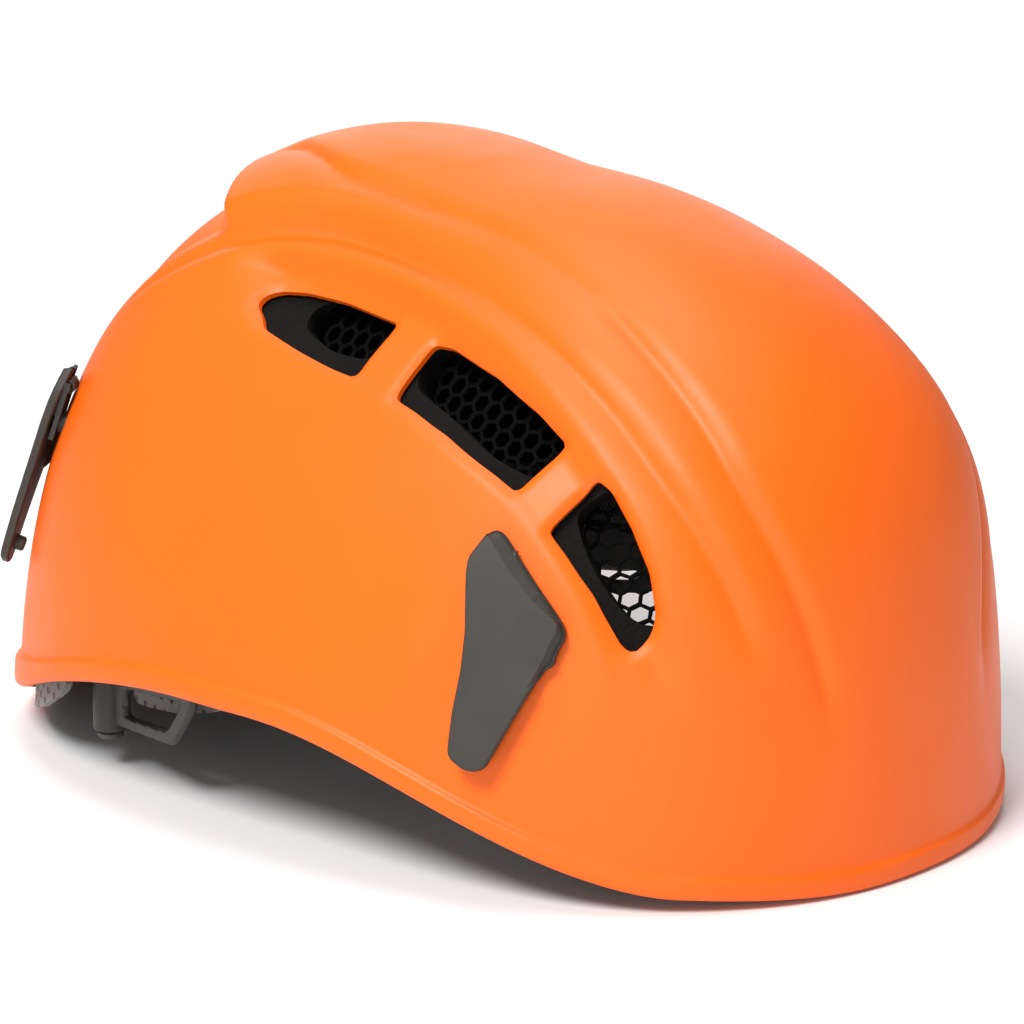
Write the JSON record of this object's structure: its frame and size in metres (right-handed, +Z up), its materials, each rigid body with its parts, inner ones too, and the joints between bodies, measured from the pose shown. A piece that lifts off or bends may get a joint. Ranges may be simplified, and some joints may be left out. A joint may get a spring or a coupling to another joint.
{
  "type": "climbing helmet",
  "caption": "Ventilated climbing helmet with a foam liner, headlamp clips, a dial-adjusted headband, swinging strap guides and a stowed chin strap.",
  "frame": {"origin": "on the surface that the rim stands on, below the middle of the helmet", "axes": "+X to the front, +Y to the wearer's left, +Z up to the crown"},
  "size_m": [0.275, 0.2132, 0.1595],
  "materials": {
    "shell_plastic": "satin",
    "liner_foam": "matt",
    "vent_mesh": "matt",
    "clip_plastic": "fine-grained",
    "guide_plastic": "satin",
    "band_plastic": "satin",
    "fitting_plastic": "satin",
    "pad_fabric": "matt",
    "webbing": "matt"
  },
  "bodies": {
    "helmet": {"shell": "shell_plastic", "foam_liner": "liner_foam", "vent_mesh_right": "vent_mesh", "vent_mesh_left": "vent_mesh", "front_clip_mount_right": "fitting_plastic", "front_clip_mount_left": "fitting_plastic", "rear_clip_mount_right": "fitting_plastic", "rear_clip_mount_left": "fitting_plastic", "headband_front": "band_plastic", "temple_rivets": "fitting_plastic", "headband_arm_right": "band_plastic", "headband_arm_left": "band_plastic", "dial_housing": "fitting_plastic", "dial_cover": "fitting_plastic", "height_straps": "fitting_plastic", "nape_pad": "pad_fabric", "rear_pad_right": "pad_fabric", "rear_pad_left": "pad_fabric", "side_pad_right": "pad_fabric", "side_pad_left": "pad_fabric", "brow_pad": "pad_fabric", "crown_pad_centre": "pad_fabric", "crown_pad_right": "pad_fabric", "crown_pad_left": "pad_fabric", "strap_anchors": "fitting_plastic", "strap_front_right": "webbing", "strap_front_left": "webbing", "strap_rear_right": "webbing", "strap_rear_left": "webbing", "strap_divider_right": "fitting_plastic", "strap_divider_left": "fitting_plastic", "chin_strap_right": "webbing", "chin_strap_left": "webbing", "buckle_plug": "fitting_plastic", "buckle_socket": "fitting_plastic"},
    "front_clip_right": {"front_clip_right": "clip_plastic"},
    "front_clip_left": {"front_clip_left": "clip_plastic"},
    "rear_clip_right": {"rear_clip_right": "clip_plastic"},
    "rear_clip_left": {"rear_clip_left": "clip_plastic"},
    "strap_guide_right": {"strap_guide_right": "guide_plastic"},
    "strap_guide_left": {"strap_guide_left": "guide_plastic"},
    "dial": {"dial_knob": "guide_plastic", "dial_pinion": "fitting_plastic"},
    "rack_right": {"size_rack_right": "band_plastic"},
    "rack_left": {"size_rack_left": "band_plastic"},
    "button": {"buckle_button": "guide_plastic"}
  },
  "joints": [
    {"name": "front_clip_right_flex", "type": "hinge", "parent": "helmet", "child": "front_clip_right", "pos_m": [0.06593, -0.08038, 0.08288], "axis": [-0.9136, -0.4067, 0], "range_deg": [0, 12], "stiffness_Nm_per_rad": 0.3},
    {"name": "front_clip_left_flex", "type": "hinge", "parent": "helmet", "child": "front_clip_left", "pos_m": [0.06593, 0.08038, 0.08288], "axis": [0.9136, -0.4067, 0], "range_deg": [0, 12], "stiffness_Nm_per_rad": 0.3},
    {"name": "rear_clip_right_flex", "type": "hinge", "parent": "helmet", "child": "rear_clip_right", "pos_m": [-0.09947, -0.06192, 0.09172], "axis": [-0.5736, 0.8191, 0], "range_deg": [0, 12], "stiffness_Nm_per_rad": 0.3},
    {"name": "rear_clip_left_flex", "type": "hinge", "parent": "helmet", "child": "rear_clip_left", "pos_m": [-0.09947, 0.06192, 0.09172], "axis": [0.5736, 0.8191, 0], "range_deg": [0, 12], "stiffness_Nm_per_rad": 0.3},
    {"name": "strap_guide_right_swing", "type": "hinge", "parent": "helmet", "child": "strap_guide_right", "pos_m": [-0.064, -0.0825, 0.018], "axis": [0, 0, -1], "range_deg": [0, 15]},
    {"name": "strap_guide_left_swing", "type": "hinge", "parent": "helmet", "child": "strap_guide_left", "pos_m": [-0.064, 0.0825, 0.018], "axis": [0, 0, 1], "range_deg": [0, 15]},
    {"name": "dial_turn", "type": "hinge", "parent": "helmet", "child": "dial", "pos_m": [-0.109, 0, 0.027], "axis": [1, 0, 0], "range_deg": [-90, 90]},
    {"name": "rack_right_slide", "type": "slide", "parent": "helmet", "child": "rack_right", "axis": [0, 1, 0], "range_m": [-0.0079, 0.0079]},
    {"name": "rack_left_slide", "type": "slide", "parent": "helmet", "child": "rack_left", "axis": [0, -1, 0], "range_m": [-0.0079, 0.0079]},
    {"name": "buckle_press", "type": "slide", "parent": "helmet", "child": "button", "axis": [0, 0, 1], "range_m": [0, 0.0015], "stiffness_N_per_m": 500}
  ],
  "couplings": [
    {"joint": "rack_right_slide", "follows": "dial_turn", "m_per_rad": 0.005},
    {"joint": "rack_left_slide", "follows": "dial_turn", "m_per_rad": 0.005}
  ]
}
